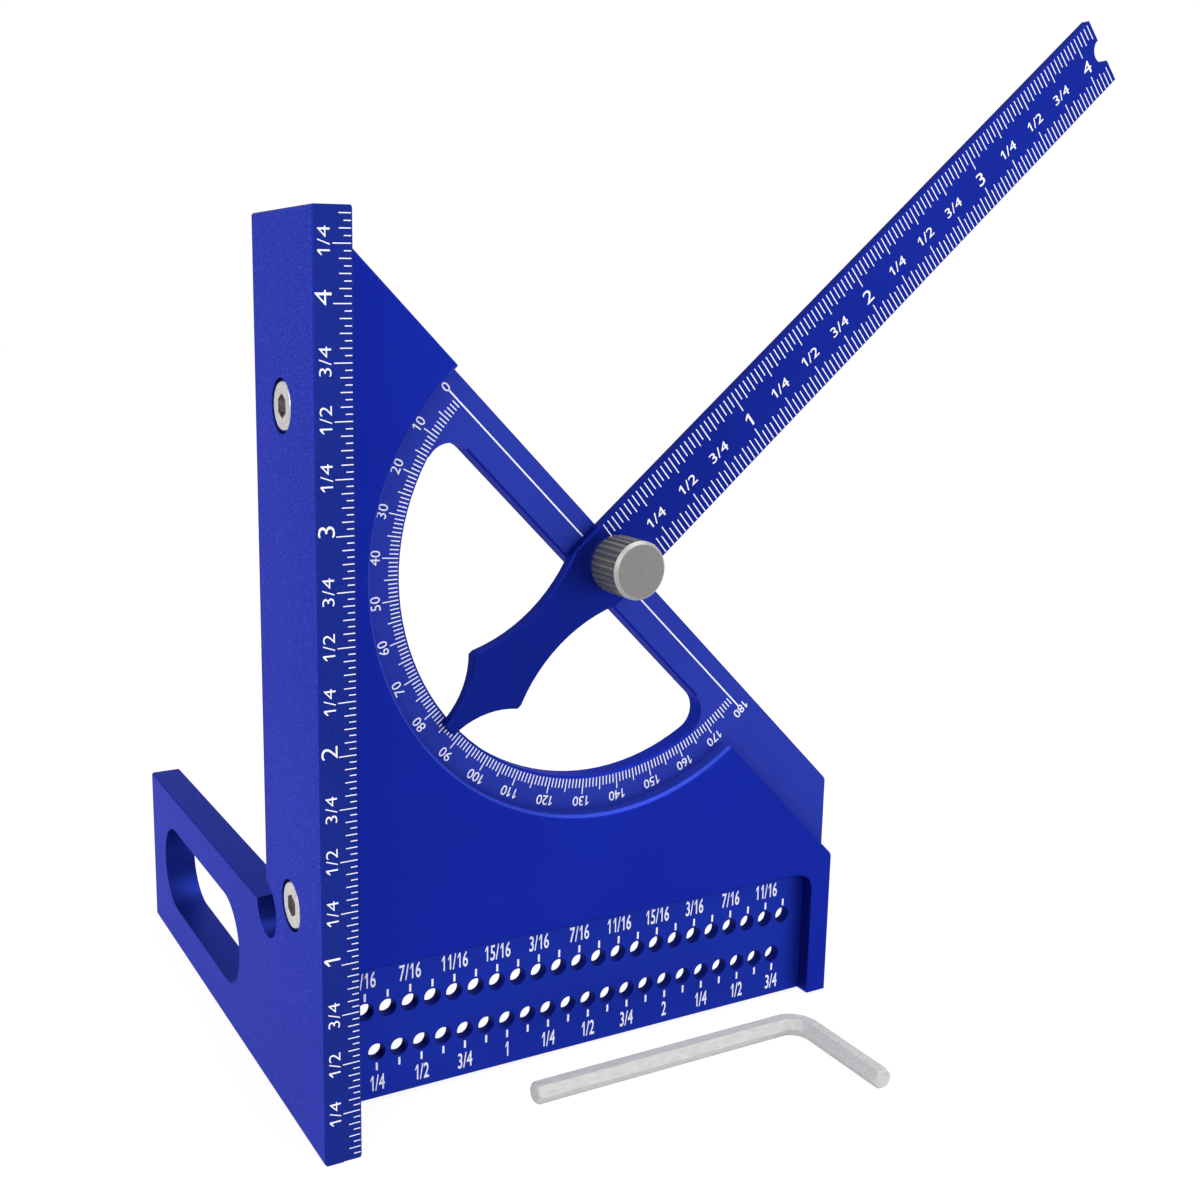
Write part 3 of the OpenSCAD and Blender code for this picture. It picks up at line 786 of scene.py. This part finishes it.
# %% Fence scale
FENCE_FRONT = -39.25
FENCE_ANGLE = 90.0
FENCE_EDGE = 2.15
FENCE_LINE = 0.12
FENCE_LAST_TICK, FENCE_LAST_QUARTER = 140, 17
FENCE_TICK_ENDS = (0.0, 0.0, -0.72, -1.3)
FENCE_WHOLE, FENCE_FRACTION = (2.0, 0.62, 1.15), (1.45, 0.12, 1.03)
FENCE_STRETCH = 1.27

fence_ticks = inch_scale("fence_scale", FENCE_LAST_TICK, FENCE_LINE, -FENCE_EDGE,
                         FENCE_TICK_ENDS)
fence_numbers = inch_numbers(FENCE_LAST_QUARTER, FENCE_WHOLE, FENCE_FRACTION, FENCE_STRETCH,
                             thin_digits)
fence_scale = join([fence_ticks] + fence_numbers, "fence_scale")
lay_on_face(fence_scale, (0, FENCE_FRONT, 0), FENCE_ANGLE)
marks_done(fence_scale, "square")

# %% [markdown]
# ## The degree scale
# The half circle is divided into 180 degrees round the pivot. The ticks of the first ten
# degrees are made once and spun round the pivot, and one long line joins 0 to 180 through the
# pivot. The numbers stand outside the ticks with their heads outwards.

# %% Ticks of the degree scale
SCALE_INNER = 29.62
DEGREE_END, FIVE_END, TEN_END, ZERO_END = 30.85, 31.4, 31.75, 32.0
DEGREE_LINE, ZERO_LINE = 0.14, 0.2
ZERO_AT = math.radians(135)


def degree_tick(end, degrees):
    """A tick at a reading, from the window's edge outwards."""
    tick = make_tick(DEGREE_LINE, SCALE_INNER, end)
    turned_tick = copy_to(tick, 0, 0, ZERO_AT + math.radians(degrees - 90))
    drop(tick)
    return turned_tick


def fan(obj, steps, degrees):
    """Spins copies of an object round the pivot, in equal steps."""
    only(obj)
    bpy.ops.object.mode_set(mode="EDIT")
    bpy.ops.mesh.select_all(action="SELECT")
    bpy.ops.mesh.spin(steps=steps, dupli=True, angle=-math.radians(degrees), center=(0, 0, 0),
                      axis=(0, 0, 1), use_auto_merge=False)
    bpy.ops.object.mode_set(mode="OBJECT")
    return obj


tens = fan(degree_tick(TEN_END, 10), 16, 160)  # 10 to 170
fives = fan(degree_tick(FIVE_END, 5), 17, 170)  # 5 to 175
first_ones = join([degree_tick(DEGREE_END, d) for d in (1, 2, 3, 4, 6, 7, 8, 9)], "ones")
ones = fan(first_ones, 17, 170)  # 1 to 179
level_line = make_tick(ZERO_LINE, -ZERO_END, ZERO_END)
zero_line = copy_to(level_line, 0, 0, ZERO_AT - math.radians(90))
drop(level_line)

# %% Numbers of the degree scale
NUMBER_RADIUS = 32.7
NUMBER_HEIGHT = 1.3
SPACING, THREE_DIGIT_SPACING = 0.97, 0.9

degree_numbers = []
for reading in range(0, 181, 10):
    direction = ZERO_AT + math.radians(reading)
    degree_numbers.append(placed_number(
        str(reading), NUMBER_HEIGHT, 1.0, NUMBER_RADIUS * math.cos(direction),
        NUMBER_RADIUS * math.sin(direction),
        THREE_DIGIT_SPACING if reading > 90 else SPACING, direction - math.radians(90)))
degree_scale = join([tens, fives, ones, zero_line] + degree_numbers, "degree_scale")
lay_on_face(degree_scale, (PIVOT.x / MM, POCKET_FLOOR, PIVOT.z / MM))
marks_done(degree_scale, "square")

# %% [markdown]
# ## Marks of the scribing holes
# A short tick stands at every hole, and every second hole has its distance from the fence in
# inches. Where a fraction is left over only the fraction is given, as on the other scales. The
# upper row starts at three sixteenths and the lower at a quarter.

# %% Marks of the scribing holes
HOLE_PITCH = INCH / 8
FENCE_INNER = 2.4
UPPER_FIRST, UPPER_COUNT = 3 * INCH / 16, 22
LOWER_FIRST, LOWER_COUNT = INCH / 4, 21
UPPER_TICK_MIDDLE, UPPER_LABEL_MIDDLE = 14.7, 17.0
LOWER_TICK_MIDDLE, LOWER_LABEL_MIDDLE = 4.85, 2.6
HOLE_LINE, HALF_HOLE_TICK = 0.3, 0.525
HOLE_LABEL_HEIGHT, HOLE_LABEL_STRETCH = 2.1, 0.56
LABELS_IN_ROW = 11


def hole_marks(name, first, count, tick_middle, label_middle, labels):
    """A row of ticks at the holes, with a label at every second one."""
    tick = make_tick(HOLE_LINE, -HALF_HOLE_TICK, HALF_HOLE_TICK)
    ticks = copy_to(tick, first, tick_middle)
    drop(tick)
    array(ticks, count, HOLE_PITCH)
    words = [placed_number(text, HOLE_LABEL_HEIGHT, HOLE_LABEL_STRETCH,
                           first + 2 * i * HOLE_PITCH, label_middle, digits=bold_digits)
             for i, text in enumerate(labels)]
    row = join([ticks] + words, name)
    lay_on_face(row, (FENCE_INNER, POCKET_FLOOR, 0))
    marks_done(row, "square")


upper_labels = [("3/16", "7/16", "11/16", "15/16")[i % 4] for i in range(LABELS_IN_ROW)]
lower_labels = [("1/4", "1/2", "3/4", str(i // 4 + 1))[i % 4] for i in range(LABELS_IN_ROW)]
hole_marks("upper_hole_marks", UPPER_FIRST, UPPER_COUNT, UPPER_TICK_MIDDLE, UPPER_LABEL_MIDDLE,
           upper_labels)
hole_marks("lower_hole_marks", LOWER_FIRST, LOWER_COUNT, LOWER_TICK_MIDDLE, LOWER_LABEL_MIDDLE,
           lower_labels)

# %% [markdown]
# ## The arm's two scales
# Both edges of the arm carry the same inches, with the numbers between them. The sheet is laid
# on the arm's face round the pivot and turned to the arm's angle, and it rides on the arm.

# %% Arm scales
ARM_FRONT = -30.75
ARM_ANGLE = 40.0
ARM_ZERO = 2.1
ARM_EDGE = 4.8
ARM_LINE = 0.15
UPPER_LAST_TICK, LOWER_LAST_TICK, ARM_LAST_QUARTER = 132, 133, 16
UPPER_TICK_ENDS, LOWER_TICK_ENDS = (1.6, 2.1, 2.55, 2.95), (-1.6, -1.7, -2.25, -2.65)
ARM_WHOLE, ARM_FRACTION = (1.8, 0.0, -0.1), (1.35, 0.0, -0.1)
ARM_STRETCH = 1.38

upper_edge = inch_scale("arm_upper", UPPER_LAST_TICK, ARM_LINE, ARM_EDGE, UPPER_TICK_ENDS)
lower_edge = inch_scale("arm_lower", LOWER_LAST_TICK, ARM_LINE, -ARM_EDGE, LOWER_TICK_ENDS)
arm_numbers = inch_numbers(ARM_LAST_QUARTER, ARM_WHOLE, ARM_FRACTION, ARM_STRETCH, plain_digits)
arm_scale = join([upper_edge, lower_edge] + arm_numbers, "arm_scale")
arm_scale.data.transform(Matrix.Translation((ARM_ZERO, 0, 0)))
lay_on_face(arm_scale, (PIVOT.x / MM, ARM_FRONT, PIVOT.z / MM), ARM_ANGLE)
marks_done(arm_scale, "arm")
for digits in (thin_digits, plain_digits, bold_digits):
    drop(*digits.values())
